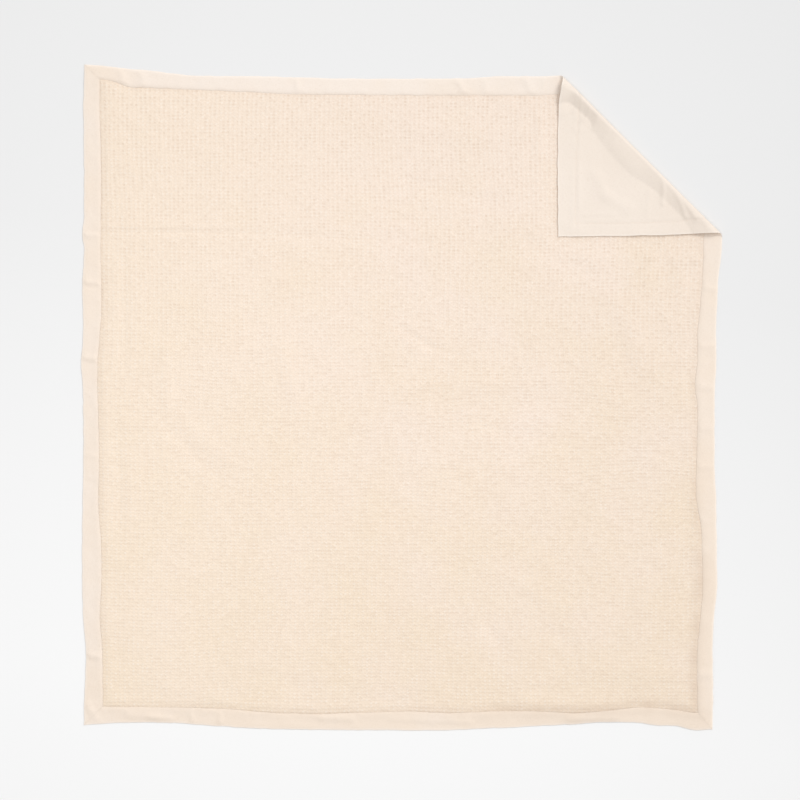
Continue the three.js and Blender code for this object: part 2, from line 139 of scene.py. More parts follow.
# Soft ridges (rise over 0) and troughs of the face. Columns: from x, from y, to x, to y, rise, width
FACE_FOLDS = [
    (-1110, 602, -560, 598, -1.5, 11), (-1110, 620, -560, 616, 0.8, 12),
    (-560, 598, 140, 560, -0.9, 14), (60, 965, 330, 935, 1.8, 40), (90, 758, 345, 700, -1.8, 30),
    (460, 555, 720, 425, -2.0, 34), (700, 440, 895, 130, 2.2, 45), (760, 260, 840, -10, -1.7, 32),
    (925, 560, 965, 330, -2.0, 26), (1028, 470, 1026, 10, -2.4, 24),
    (1028, -380, 1030, -1040, -2.2, 26), (0, 262, 105, 195, -2.2, 16), (105, 195, 210, 160, -1.2, 18),
    (0, 62, 710, 60, 1.2, 36), (140, 2, 700, 2, -0.8, 26), (280, -85, 580, -150, -1.2, 28),
    (-828, 200, -820, -15, 1.8, 26), (-425, 205, -365, 0, 1.6, 28), (-810, -100, -640, -265, -1.6, 20),
    (-760, -60, -590, -225, 1.2, 22), (-992, -120, -985, -440, -1.6, 20),
    (370, -610, 560, -720, 1.6, 32), (310, -770, 370, -880, -1.4, 24),
    (-810, -1010, -610, -1050, 1.8, 30), (-540, -965, -310, -1005, -1.6, 30),
    (680, -945, 960, -955, 1.8, 32), (530, -810, 620, -870, -1.4, 24), (460, 1000, 462, 860, -1.4, 16),
    (496, 1000, 498, 860, 1.2, 14), (880, 540, 878, 420, 1.2, 20), (-1000, 500, -1010, 90, 0.9, 14),
    (-970, 480, -975, 120, -0.9, 14),
]

# Long swells under the flange's seam, which lift the flange and the face alike. Columns as above
RIM_FOLDS = [
    (1064, 330, 1060, -520, 2.2, 46), (1060, -520, 1056, -1060, 3.4, 46),
    (460, -1068, 760, -1078, 3.6, 40), (-1052, 250, -1056, -1000, 1.6, 30),
    (-1000, -1078, 300, -1096, 1.6, 26),
]

# Tucks of the flange. Columns as above
FLANGE_TUCKS = [
    # Along the left
    (-1118, 606, -1060, 604, -1.6, 9), (-1120, 590, -1062, 590, 2.2, 10),
    (-1122, 424, -1066, 420, 2.2, 12), (-1120, 408, -1070, 408, -1.4, 8),
    (-1118, 154, -1062, 156, 2.6, 12), (-1115, 138, -1068, 136, -1.6, 9),
    (-1105, 46, -1075, 50, -1.2, 9), (-1122, -190, -1080, -190, 1.5, 10),
    (-1115, -288, -1060, -288, -1.2, 9), (-1115, -892, -1060, -900, 2.4, 12),
    (-1110, -1070, -1075, -1110, 1.6, 16),
    # Along the right
    (1062, 402, 1125, 400, 2.0, 12), (1066, 196, 1120, 200, 1.8, 12), (1066, 158, 1120, 150, -1.3, 9),
    (1060, 56, 1112, 50, 1.8, 14), (1056, -44, 1108, -50, -1.4, 10), (1060, -94, 1112, -90, 1.6, 11),
    (1056, -230, 1108, -226, 1.6, 12), (1056, -278, 1108, -280, -1.3, 9),
    (1050, -966, 1106, -960, 1.8, 14),
    # Along the top
    (-990, 1178, -968, 1120, 2.0, 14), (-915, 1165, -900, 1110, 1.6, 14),
    (-722, 1148, -716, 1092, -1.4, 10), (-365, 1142, -358, 1086, 1.6, 12),
    (200, 1146, 232, 1086, 2.0, 14), (300, 1146, 306, 1090, 1.6, 12), (342, 1148, 348, 1090, -1.4, 10),
    (440, 1150, 468, 1088, 2.0, 14), (512, 1150, 510, 1090, 1.4, 12),
    # Along the bottom
    (-736, -1152, -734, -1108, 1.8, 10), (-636, -1150, -634, -1106, 1.8, 10),
    (-960, -1106, -860, -1110, 1.8, 14), (-880, -1114, -815, -1116, 1.6, 12),
    (-280, -1116, -170, -1120, 1.8, 12), (515, -1098, 700, -1096, -1.2, 18),
    (600, -1118, 760, -1125, 2.4, 16), (-1040, -1130, -810, -1136, -1.0, 9),
    (-300, -1158, -170, -1160, -1.0, 9), (-30, -1120, 240, -1130, 1.4, 12),
    (60, -1146, 420, -1148, -0.9, 9),
]

# Swells and creases of the turned corner, at places of the cover as it lies. Columns as above
FLAP_FOLDS = [
    (690, 800, 728, 728, 2.4, 22), (728, 728, 808, 682, 2.2, 22), (620, 900, 620, 760, 1.4, 60),
    (578, 1140, 566, 1030, 5, 24), (563, 800, 563, 640, 1.0, 20), (840, 590, 1110, 600, 3.2, 30),
    (620, 592, 840, 588, 1.4, 26), (932, 782, 928, 700, 3.4, 8), (980, 732, 1008, 658, 2.8, 9),
    (1008, 708, 1044, 648, 2.8, 9), (1060, 660, 1110, 612, 2.5, 14), (885, 740, 872, 660, 1.2, 12),
    (759, 902, 822, 830, 2.6, 30), (632, 838, 634, 690, 1.0, 8), (642, 660, 760, 662, 1.0, 7),
    (616, 664, 612, 640, 1.0, 7), (639, 1062, 614, 1023, 2.4, 8), (678, 1037, 649, 995, 2.4, 9),
    (706, 1005, 681, 966, 2.0, 9), (742, 968, 722, 936, 1.2, 10),
]

# The textured cloth: its cells, their depth, and how many half cells are laid out each way from the middle
CELL_WIDTH = 16.15
CELL_LENGTH = 12.12
CELL_DEPTH = 1.45
HALF_COLUMNS = 142
HALF_ROWS = 192

# How high its ribs stand, as a share of that depth. Columns: low on the cover, how much more at its top
UPRIGHT_RIB = (0.36, 0.34)
LEVEL_RIB = (0.66, -0.04)
RIBS_CHANGE_BETWEEN = (50, 750)
RIB_SHARPNESS = 1.5
CROSSING_RISE = 0.25
HIGHEST_RIB = 1.3

# Smooth random unevenness. Columns: height, size, seed
FACE_SWELLS = [(0.35, 62, 1), (0.22, 24, 2)]
FLANGE_CRINKLES = [(0.5, 37, 3), (0.25, 17, 4)]
FLAP_SWELLS = [(0.12, 33, 5), (0.06, 14, 6)]
CELLS_ASIDE = [(7, 310, 41), (1.2, 60, 42)]
CELLS_UP = [(7, 290, 43), (1.2, 60, 44)]
UPRIGHT_NOISES = [(0.3, 30, 51), (0.25, 75, 54)]
LEVEL_NOISES = [(0.3, 30, 52), (0.25, 75, 55)]
OWN_NOISES = [(0.4, 7.3, 53)]

# The face's loft off the back. Columns: height, from and to what distance inside the seam it rises
FACE_LOFT = [(2.0, 0, 130), (2.2, 3, 26)]
# The flange's loft, and what its table of tucks is multiplied by
FLANGE_LOFT = 0.5
TUCK_STRENGTH = 1.4

# Distances from the seam over which each kind of relief begins, and from the outer edge over which it ends
CELLS_BEGIN = (-1, 9)
FOLDS_BEGIN = (4, 20)
FACE_SWELLS_BEGIN = (4, 40)
TUCKS_BEGIN = (0, 6)
FLANGE_LOFT_BEGINS = (1, 14)
FLANGE_LOFT_ENDS = 16

# Gathers on both sides of the seam, and the flange's ridge along it. A reach is where they are highest.
GATHER_REACH = 9
GATHER_WIDTH = 21
FINE_GATHER_WIDTH = 10
GATHERED_STRETCH = 170
SEAM_RIDGE_HEIGHT = 0.9
SEAM_RIDGE_REACH = 8

# The seam line on the turned corner. Columns: height, how far inside the seam, width
FLAP_SEAM = [(-0.95, -2, 3.2), (0.5, 8, 5)]

# How far a sheet's face falls at its outline. Columns: depth, from and to what distance inside it
FACE_ROUNDING = [(0.7, 0, 1.5), (0.5, 1, 12)]
SEAM_ROUNDING = [(0.3, 0, 1.4)]
HEM_ROUNDING = [(0.5, 0, 1.6), (0.35, 0, 9)]
BACK_ROUNDING = [(0.3, 0, 1.6)]
BACK_UNDER_ROUNDING = [(0.25, 0, 1.6)]

# Paler outer edge and painted shade beside the seam: the pale edge's width, how far the painted shade
# reaches from the seam, how much further at the lower right, and between which values of x - y that begins
PALE_EDGE = 7
SEAM_SHADE_REACH = 15
SEAM_SHADE_REACH_MORE = 12
LOW_RIGHT = (900, 1700)

# The stitches of the seam
STITCH_LENGTH = 3.3
STITCH_PITCH = 4.4
STITCH_HALF_WIDTH = 0.35
STITCH_HEIGHT = 0.28
STITCHES_OUT = 2.6

# Spacing of points on the meshes
OUTLINE_STEP = 7
STRIP_STEP = 6
FLAP_STEP = 6
HIDDEN_STEP = 14
UNDERSIDE_STEP = 50
BEND_STEP = 2.1
HIDDEN_BEND_STEP = 3.4
FLAT_BACK_STEP = 70
MITRE_POINTS = 12
GRID_REACH = 1300

# How far points inside a sheet stay from its outline, as a share of their spacing or in millimetres
MARGIN_SHARE = 0.6
STRIP_MARGIN_SHARE = 0.55
UNDERSIDE_MARGIN = 14
CELLS_MARGIN = 2.2
FACE_RIM = 1.2
STRIP_RIM = 1.1
BACK_RIM = 1
# The cells end so far in under the turned corner, and the face lies flat so far before it.
UNDER_FLAP = 16
FLAT_BEFORE_FLAP = 12
LEVELLING = 70
# The face's underside keeps so far below the least lift within this reach, so that no pit comes through it.
UNDERSIDE_SLACK = 0.4
UNDERSIDE_REACH = 20
MERGE_DISTANCE = 1e-5
SHARP_ANGLE = math.radians(50)

# Colours, with red, green and blue from 0 to 255
# Each dark shade colours darker yarns and, on the flange, the painted shade beside the seam.
FLANGE_COLOURS = {"pale": (244, 232, 221), "deep": (241.5, 225.5, 209), "dark_shade": (222, 203, 184)}
BACK_COLOURS = {"pale": (242, 230, 218), "deep": (238, 225, 212), "dark_shade": (222, 206, 190)}
# The waffle's lightest colour serves lighter yarns and a painted highlight where ribs cross; its darkest
# serves darker yarns and painted shade in the pits and beside the seam.
WAFFLE_COLOURS = {
    "pale": (245.1, 227.5, 212),
    "deep": (242.3, 223.7, 202),
    "warm": (246.5, 228.5, 204.5),
    "light_yarn_and_highlight": (254, 243, 231),
    "dark_yarn_and_shade": (220, 197, 176),
}
# The outer edge is paler: its colour, and the greatest share of it.
PALE_EDGE_COLOUR = (252, 242, 232)
PALE_EDGE_SHARE = 0.6
THREAD_COLOUR = (244, 228, 212)
THREAD_LIGHT_COLOUR = (252, 240, 228)
# The floor's two colours paint light that grows towards the bottom of the picture.
FLOOR_COLOUR = (232, 232, 232)
FLOOR_PALE_COLOUR = (242, 242, 242)


def smooth_step(value, low, high):
    share = np.clip((value - low) / (high - low), 0, 1)
    return share * share * (3 - 2 * share)


def noise(x, y, size, seed):
    """Smooth noise from -1 to 1, with bumps about size across."""
    cells = 97
    values = np.random.default_rng(seed).uniform(-1, 1, (cells, cells))
    column, row = np.floor(x / size).astype(int), np.floor(y / size).astype(int)
    right = smooth_step(x / size - column, 0, 1)
    up = smooth_step(y / size - row, 0, 1)
    column, row = column % cells, row % cells
    next_column, next_row = (column + 1) % cells, (row + 1) % cells
    low = values[row, column] * (1 - right) + values[row, next_column] * right
    high = values[next_row, column] * (1 - right) + values[next_row, next_column] * right
    return low * (1 - up) + high * up


def column_at(rows, column, at):
    """A table's column at places along it, smooth from row to row."""
    table = np.array(rows, float)
    place, value = table[:, 0], table[:, column]
    last = len(place) - 1
    at = np.clip(at, place[0], place[-1])
    start = np.clip(np.searchsorted(place, at) - 1, 0, last - 1)
    end = start + 1
    before, after = np.maximum(start - 1, 0), np.minimum(start + 2, last)
    span = place[end] - place[start]
    share = (at - place[start]) / span
    slope_start = (value[end] - value[before]) / (place[end] - place[before])
    slope_end = (value[after] - value[start]) / (place[after] - place[start])
    return (
        (2 * share**3 - 3 * share**2 + 1) * value[start]
        + (share**3 - 2 * share**2 + share) * span * slope_start
        + (3 * share**2 - 2 * share**3) * value[end]
        + (share**3 - share**2) * span * slope_end
    )


def with_noises(value, rows, x, y):
    """A value with a table's unevenness added."""
    for height, size, seed in rows:
        value = value + height * noise(x, y, size, seed)
    return value


def side_place(side, column, at):
    """The coordinate of a side's edge or seam, across the side, at places along it."""
    out = column_at(SIDES[side], column, at) * (1 if column == EDGE else -1)
    seed = 60 + 10 * list(SIDES).index(side) + column
    out = with_noises(out, [(0.9, 34, seed), (0.5, 15, seed + 4)], at, 0 * at)
    half = COVER_WIDTH / 2 if side in UPRIGHT_SIDES else COVER_LENGTH / 2
    return (half + out) * (1 if side in ("right", "top") else -1)


def corner(upright, level, column):
    """Where the edges, or the seams, of an upright and a level side meet."""
    x, y = 0.0, 0.0
    # Each round comes closer to the place.
    for _ in range(20):
        x = float(side_place(upright, column, np.array(y)))
        y = float(side_place(level, column, np.array(x)))
    return np.array([x, y])


def walk(side, column, start, end):
    """Points along one side from a corner to the next, without the last one."""
    axis = 1 if side in UPRIGHT_SIDES else 0
    count = math.ceil(abs(end[axis] - start[axis]) / OUTLINE_STEP)
    at = np.linspace(start[axis], end[axis], count + 1)[1:-1]
    place = side_place(side, column, at)
    points = [place, at] if axis == 1 else [at, place]
    return np.concatenate([[start], np.stack(points, 1)])


def whole_loop(column):
    """The closed outline through the outer edges or the seams of all four sides, anticlockwise."""
    return np.concatenate([
        walk(side, column, corner(*before, column), corner(*after, column))
        for side, (before, after, length) in STRIPS.items()
    ])


def strip_loop(side, before, after):
    """The outline of one flange strip: its outer edge, a mitre, its seam and the other mitre."""
    outer_start, outer_end = corner(*before, EDGE), corner(*after, EDGE)
    inner_start, inner_end = corner(*after, SEAM), corner(*before, SEAM)
    return np.concatenate([
        walk(side, EDGE, outer_start, outer_end),
        np.linspace(outer_end, inner_start, MITRE_POINTS)[:-1],
        walk(side, SEAM, inner_start, inner_end),
        np.linspace(inner_end, outer_start, MITRE_POINTS)[:-1],
    ])


def inset(loop, distance):
    """The outline moved inwards."""
    into = loop - np.roll(loop, 1, 0)
    out = np.roll(loop, -1, 0) - loop
    into /= np.linalg.norm(into, axis=1)[:, None]
    out /= np.linalg.norm(out, axis=1)[:, None]
    normals = np.stack([-into[:, 1] - out[:, 1], into[:, 0] + out[:, 0]], 1)
    return loop + normals * (distance / (1 + (into * out).sum(1)))[:, None]


def inside(points, starts, ends):
    """Whether each point is inside the region that the edges bound."""
    result = np.zeros(len(points), bool)
    at_a_time = 4000
    for first in range(0, len(points), at_a_time):
        some = slice(first, first + at_a_time)
        x, y = points[some].T[:, :, None]
        rises = (starts[:, 1] > y) != (ends[:, 1] > y)
        run = np.where(ends[:, 1] == starts[:, 1], 1, ends[:, 1] - starts[:, 1])
        meets = starts[:, 0] + (y - starts[:, 1]) / run * (ends[:, 0] - starts[:, 0])
        result[some] = (rises & (x < meets)).sum(1) % 2 == 1
    return result


def inside_loop(points, loop):
    return inside(points, loop, np.roll(loop, -1, 0))


def rise_at(rows, x, y):
    """How far ridges and troughs between two points lift places."""
    rise = np.zeros_like(x)
    for x1, y1, x2, y2, height, width in rows:
        run = np.array([x2 - x1, y2 - y1], float)
        share = np.clip(((x - x1) * run[0] + (y - y1) * run[1]) / (run @ run), 0, 1)
        away = np.hypot(x - x1 - share * run[0], y - y1 - share * run[1]) / width
        rise += height * np.exp(-away * away)
    return rise


def inside_line(column, x, y):
    """How far inside the outer edge or the seam places lie: under 0 outside it."""
    return np.minimum(
        np.minimum(x - side_place("left", column, y), side_place("right", column, y) - x),
        np.minimum(y - side_place("bottom", column, x), side_place("top", column, x) - y),
    )


def inside_seam(x, y):
    return inside_line(SEAM, x, y)


def inside_edge(x, y):
    return inside_line(EDGE, x, y)


def pale_edge_and_seam_shade(flat):
    """How pale the cloth is at its outer edge, and how much painted shade darkens it beside the seam."""
    x, y = flat.T
    low_right = smooth_step(x - y, *LOW_RIGHT)
    reach = SEAM_SHADE_REACH + SEAM_SHADE_REACH_MORE * low_right
    dark_shade = np.exp(-(inside_seam(x, y) / reach) ** 2) * (0.4 + 0.6 * low_right)
    dark_shade = dark_shade * (0.75 + 0.35 * noise(x, y, 40, 61))
    return np.stack([1 - smooth_step(inside_edge(x, y), 0, PALE_EDGE), dark_shade], 1)


def bulge(away, reach):
    """Rises from 0 to 1 at the reach, and falls off past it."""
    return away / reach * np.exp(1 - away / reach)


def puckers(x, y):
    """Small gathers along the seam, on both sides of it."""
    rise = np.zeros_like(x)
    for number, side in enumerate(SIDES):
        along, out = (y, x) if side in UPRIGHT_SIDES else (x, y)
        away = np.abs(out - side_place(side, SEAM, along))
        broad = noise(along, away * 0.2, GATHER_WIDTH, 10 + number)
        fine = noise(along, away * 0.3, FINE_GATHER_WIDTH, 20 + number)
        strength = 0.55 + 0.45 * noise(along, 0 * along, GATHERED_STRETCH, 30 + number)
        rise += bulge(away, GATHER_REACH) * strength * np.maximum(0, 0.35 + (broad + 0.6 * fine))
    return rise


def clear_of_flap(x, y):
    """0 under the turned corner and 1 well away from it."""
    before = np.maximum(FLAP_TIP[0] - FLAT_BEFORE_FLAP - x, FLAP_TIP[1] - FLAT_BEFORE_FLAP - y)
    return smooth_step(before, 0, LEVELLING)


def face_lift(x, y):
    """How far the face panel stands off the back panel."""
    within = inside_seam(x, y)
    loft = sum(height * smooth_step(within, start, end) for height, start, end in FACE_LOFT)
    folds = rise_at(FACE_FOLDS, x, y) * smooth_step(within, *FOLDS_BEGIN)
    swells = with_noises(0, FACE_SWELLS, x, y) * smooth_step(within, *FACE_SWELLS_BEGIN)
    rim = rise_at(RIM_FOLDS, x, y)
    return (np.maximum(0, loft + folds + swells) + rim + 0.5 * puckers(x, y)) * clear_of_flap(x, y)


def strip_lift(x, y):
    """How far a flange strip stands off the back panel."""
    out = np.maximum(-inside_seam(x, y), 0)
    seam_ridge = SEAM_RIDGE_HEIGHT * bulge(out, SEAM_RIDGE_REACH)
    tucks = TUCK_STRENGTH * rise_at(FLANGE_TUCKS, x, y) * smooth_step(out, *TUCKS_BEGIN)
    crinkles = with_noises(0, FLANGE_CRINKLES, x, y)
    free = smooth_step(out, *FLANGE_LOFT_BEGINS) * smooth_step(inside_edge(x, y), 0, FLANGE_LOFT_ENDS)
    lift = np.maximum(0, FLANGE_LOFT + crinkles + tucks) * free + seam_ridge + rise_at(RIM_FOLDS, x, y)
    return (lift + 0.8 * puckers(x, y)) * clear_of_flap(x, y)


def flap_relief(x, y):
    """How far the back's outer face stands out on the turned corner, at places of the flat cover."""
    within = inside_seam(x, y)
    seam = sum(height * np.exp(-((within - place) / width) ** 2) for height, place, width in FLAP_SEAM)
    gathers = np.where(within < 0, 1.1, 0.5) * puckers(x, y)
    return seam + gathers + with_noises(0, FLAP_SWELLS, x, y)


def thinning(rows, within):
    """How far a sheet's face falls at distances inside its outline."""
    return sum(depth * (1 - smooth_step(within, start, end)) for depth, start, end in rows)


def no_lift(x, y):
    return np.zeros_like(x)


def section(length, along):
    """The fold's section at lengths of cloth past the start of the roll: place across, height, heading."""
    roll = column_at(FOLD_SECTIONS, ROLL, along)
    crest = column_at(FOLD_SECTIONS, CREST, along)
    slope = np.radians(column_at(FOLD_SECTIONS, SLOPE, along))
    rest = column_at(FOLD_SECTIONS, REST, along)
    top = roll * (1 - math.cos(ROLL_TURN)) + crest * (math.cos(ROLL_TURN) + np.cos(slope))
    fall = top - FLAP_HEIGHT - rest * (1 - np.cos(slope))
    stretches = [
        (roll * ROLL_TURN, 1 / roll),
        (crest * (math.pi - ROLL_TURN + slope), 1 / crest),
        (fall / np.sin(slope), None),
        (rest * slope, -1 / rest),
        (np.inf, None),
    ]
    place, height = FOLD_DISTANCE - roll, np.zeros_like(length)
    heading, left = np.zeros_like(length), length.copy()
    for size, curvature in stretches:
        part = np.clip(left, 0, size)
        if curvature is None:
            place += part * np.cos(heading)
            height += part * np.sin(heading)
        else:
            turned = heading + part * curvature
            place += (np.sin(turned) - np.sin(heading)) / curvature
            height += (np.cos(heading) - np.cos(turned)) / curvature
            heading = turned
        left = left - part
    return place, height, heading


def lay(flat, level, lift=no_lift):
    """Carries points of the flat stack, level above the back's underside, to where the cloth lies."""
    across, along = flat @ ACROSS, flat @ ALONG
    roll = column_at(FOLD_SECTIONS, ROLL, along)
    past = np.maximum(across - FOLD_DISTANCE + roll, 0)
    place, height, heading = section(past, along)
    turned = past > 0
    place = np.where(turned, place - level * np.sin(heading), across)
    height = np.where(turned, height + level * np.cos(heading), level)
    x = place * ACROSS[0] + along * ALONG[0]
    y = place * ACROSS[1] + along * ALONG[1]
    over = past > roll * ROLL_TURN
    behind_edge = smooth_step(FOLD_DISTANCE - place, *SWELLS_BEGIN)
    swell = np.where(over, np.maximum(0, rise_at(FLAP_FOLDS, x, y)) * behind_edge, 0)
    return np.stack([x, y, height + np.where(turned, swell, lift(x, y))], 1)


# Where the corner of the flat outline comes to lie once it is turned over
FLAP_TIP = lay(corner("right", "top", EDGE)[None], 0)[0]


def frame_shift():
    """From the cover's middle to the origin of the frame: the back panel's box is the same in both."""
    low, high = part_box("back_panel")
    middle = np.array([low.x + high.x, low.y + high.y]) / 2
    outline = whole_loop(EDGE)
    # This near to the roll's start, the outline also counts without the clearance.
    near = 60
    beside_fold = outline[np.abs(outline @ ACROSS - ROLL_START) < near]
    counted = np.concatenate([inset(outline, CLEARANCE / 2), beside_fold])
    laid = lay(counted, 0)
    own = (laid[:, :2].max(0) + laid[:, :2].min(0)) / 2
    return middle - own / 1000


SHIFT = frame_shift()


def placed(points):
    """Millimetres of the cover to metres of the frame."""
    metres = points / 1000
    metres[:, :2] += SHIFT
    return metres


def triangulated(loop, inner, hole_edges=None):
    """Triangles over a loop's inside, through the inner points, and none inside the hole's edges."""
    points = np.concatenate([loop, inner])
    count = len(loop)
    edges = [(number, (number + 1) % count) for number in range(count)]
    if hole_edges is not None:
        edges += [(int(a) + count, int(b) + count) for a, b in hole_edges]
    found = delaunay_2d_cdt([Vector(point) for point in points], edges, [], 0, MERGE_DISTANCE)
    back = np.array([origin[0] for origin in found[3]])
    triangles = back[np.array(found[2])]
    middles = points[triangles].mean(1)
    keep = inside_loop(middles, loop)
    if hole_edges is not None:
        keep &= ~inside(middles, inner[hole_edges[:, 0]], inner[hole_edges[:, 1]])
    triangles = triangles[keep]
    a, b, c = points[triangles].transpose(1, 0, 2)
    turn = (b[:, 0] - a[:, 0]) * (c[:, 1] - a[:, 1]) - (b[:, 1] - a[:, 1]) * (c[:, 0] - a[:, 0])
    triangles[turn < 0] = triangles[turn < 0][:, ::-1]
    return points, triangles


def fold_rows(flap_step, bend_step):
    """Distances across the fold for rows of points, close together where the cloth bends."""
    # Columns: from, to, spacing
    bands = [
        (ROLL_START, ROLL_END, bend_step),
        (ROLL_END, SLOPE_MIDDLE, bend_step + 0.9),
        (SLOPE_MIDDLE, FOLD_END, bend_step + 1.9),
        (FOLD_END, ROWS_END, flap_step),
    ]
    before_roll = np.linspace(ROWS_START, ROLL_START, 4)[:-1]
    return np.concatenate([before_roll, *(np.arange(*band) for band in bands)])


def row_points(rows, step):
    """Points on rows across the fold."""
    along = np.arange(-FOLD_REACH, FOLD_REACH, step)
    rows, along = np.meshgrid(rows, along)
    return rows.reshape(-1, 1) * ACROSS + along.reshape(-1, 1) * ALONG


def grid_points(step):
    """An even grid over the whole cover."""
    line = np.arange(-GRID_REACH, GRID_REACH, step)
    x, y = np.meshgrid(line, line)
    return np.stack([x.ravel(), y.ravel()], 1)


def filling(loop, margin, flat_step, flap_step, bend_step=BEND_STEP):
    """Inner points of a sheet: even on the flat, and on rows where it turns over."""
    flat = grid_points(flat_step)
    flat = flat[flat @ ACROSS < ROWS_START - flat_step * MARGIN_SHARE]
    points = np.concatenate([flat, row_points(fold_rows(flap_step, bend_step), flap_step)])
    return points[inside_loop(points, inset(loop, margin))]


def in_scene(name, data):
    thing = bpy.data.objects.new(name, data)
    bpy.context.scene.collection.objects.link(thing)
    return thing


def smooth_mesh(name, points, triangles):
    mesh = bpy.data.meshes.new(name)
    mesh.from_pydata(placed(points), [], triangles)
    mesh.shade_smooth()
    return mesh


def in_metres(flat):
    return flat / 1000


def closed_sheet(name, loop, faces, maps):
    """A closed mesh from an upper and a lower face, whose first points are one outline.

    Columns of the faces: flat points, laid points, triangles. Maps give coordinates for flat points.
    """
    (flat, upper, triangles), (low_flat, lower, low_triangles) = faces
    ring = np.arange(len(loop))
    ahead = np.roll(ring, -1)
    shift = len(upper)
    wall = np.concatenate([
        np.stack([ring + shift, ahead + shift, ahead], 1),
        np.stack([ring + shift, ahead, ring], 1),
    ])
    triangles = np.concatenate([triangles, low_triangles[:, ::-1] + shift, wall])
    mesh = smooth_mesh(name, np.concatenate([upper, lower]), triangles)
    both = np.concatenate([flat, low_flat])
    for map_name, values_at in maps.items():
        layer = mesh.uv_layers.new(name=map_name)
        values = values_at(both)[triangles.ravel()]
        layer.uv.foreach_set("vector", values.astype(np.float32).ravel())
    mesh.set_sharp_from_angle(angle=SHARP_ANGLE)
    mesh.validate()
    return in_scene(name, mesh)


# The textured cloth's cells

def cells_at(flat):
    """Cell coordinates, whole numbers where ribs cross, of places of the flat cloth."""
    x, y = flat.T
    across = with_noises(x, CELLS_ASIDE, x, y)
    up = with_noises(y, CELLS_UP, x, y)
    return np.stack([across / CELL_WIDTH, up / CELL_LENGTH], 1)


def cell_points(half_cells):
    """Places of the flat cloth for numbers of half cells."""
    size = np.array([CELL_WIDTH, CELL_LENGTH])
    goal = half_cells / 2
    flat = goal * size
    # Each round comes closer to the place.
    for _ in range(6):
        flat += (goal - cells_at(flat)) * size
    return flat


def rib_height(cells, x, y):
    """The height of the textured cloth's surface over its pits, as a share of the cells' depth."""
    near_top = smooth_step(y, *RIBS_CHANGE_BETWEEN)
    upright, level = (np.abs(np.cos(np.pi * place)) ** RIB_SHARPNESS for place in cells.T)
    upright = upright * with_noises(UPRIGHT_RIB[0] + UPRIGHT_RIB[1] * near_top, UPRIGHT_NOISES, x, y)
    level = level * with_noises(LEVEL_RIB[0] + LEVEL_RIB[1] * near_top, LEVEL_NOISES, x, y)
    crossing = CROSSING_RISE * np.minimum(upright, level)
    height = np.maximum(upright, level) + crossing + with_noises(0, OWN_NOISES, x, y)
    return np.clip(height, 0, HIGHEST_RIB)


def under_flap(flat, margin):
    """Whether places are hidden by the turned corner, or are part of it."""
    return (flat[:, 0] > FLAP_TIP[0] + margin) & (flat[:, 1] > FLAP_TIP[1] + margin)


def waffle_grid(loop):
    """Points at half cells inside the loop, triangles between them, and the edges around those."""
    columns = np.arange(-HALF_COLUMNS, HALF_COLUMNS + 1)
    rows = np.arange(-HALF_ROWS, HALF_ROWS + 1)
    i, j = np.meshgrid(columns, rows, indexing="ij")
    flat = cell_points(np.stack([i.ravel(), j.ravel()], 1).astype(float))
    usable = inside_loop(flat, inset(loop, CELLS_MARGIN)) & ~under_flap(flat, UNDER_FLAP)
    number = np.where(usable, np.cumsum(usable) - 1, -1).reshape(i.shape)
    squares = np.stack([number[:-1, :-1], number[1:, :-1], number[1:, 1:], number[:-1, 1:]])
    whole = squares.min(0) >= 0
    a, b, c, d = squares[:, whole]
    rising = ((i + j)[:-1, :-1] % 2 == 0)[whole, None]
    first = np.where(rising, np.stack([a, b, c], 1), np.stack([a, b, d], 1))
    second = np.where(rising, np.stack([a, c, d], 1), np.stack([b, c, d], 1))
    triangles = np.concatenate([first, second])
    sides = np.concatenate([np.stack(pair, 1) for pair in ((a, b), (b, c), (c, d), (d, a))])
    _, where, count = np.unique(np.sort(sides, 1), axis=0, return_index=True, return_counts=True)
    return flat[usable], triangles, sides[where[count == 1]]


def waffle_upper(loop):
    """The upper face of the textured cloth: whole cells, and triangles from them to the outline."""
    points, triangles, hole = waffle_grid(loop)
    used = np.zeros(len(points), bool)
    used[triangles.ravel()] = True
    ring = np.unique(np.concatenate([hole.ravel(), np.nonzero(~used)[0]]))
    number = np.full(len(points), -1)
    number[ring] = np.arange(len(ring))
    margin = HIDDEN_STEP * MARGIN_SHARE
    hidden = filling(loop, margin, HIDDEN_STEP, HIDDEN_STEP, HIDDEN_BEND_STEP)
    hidden = hidden[under_flap(hidden, UNDER_FLAP + margin)]
    rim = inset(loop, FACE_RIM)
    inner = np.concatenate([points[ring], rim, hidden])
    outer_points, outer = triangulated(loop, inner, number[hole])
    # The whole cells' points come after the outline, rim and hidden ones.
    count = len(loop)
    others = len(rim) + len(hidden)
    renumber = np.arange(len(outer_points))
    ring_start = count + others
    renumber[count:count + len(ring)] = ring_start + ring
    renumber[count + len(ring):] = count + np.arange(others)
    flat = np.concatenate([loop, rim, hidden, points])
    return flat, np.concatenate([renumber[outer], triangles + ring_start])


def lower_envelope(flat, lift, reach):
    """The least lift near each place."""
    x, y = flat.T
    steps = [(0, 0), (reach, 0), (-reach, 0), (0, reach), (0, -reach)]
    return np.min([lift(x + dx, y + dy) for dx, dy in steps], 0)


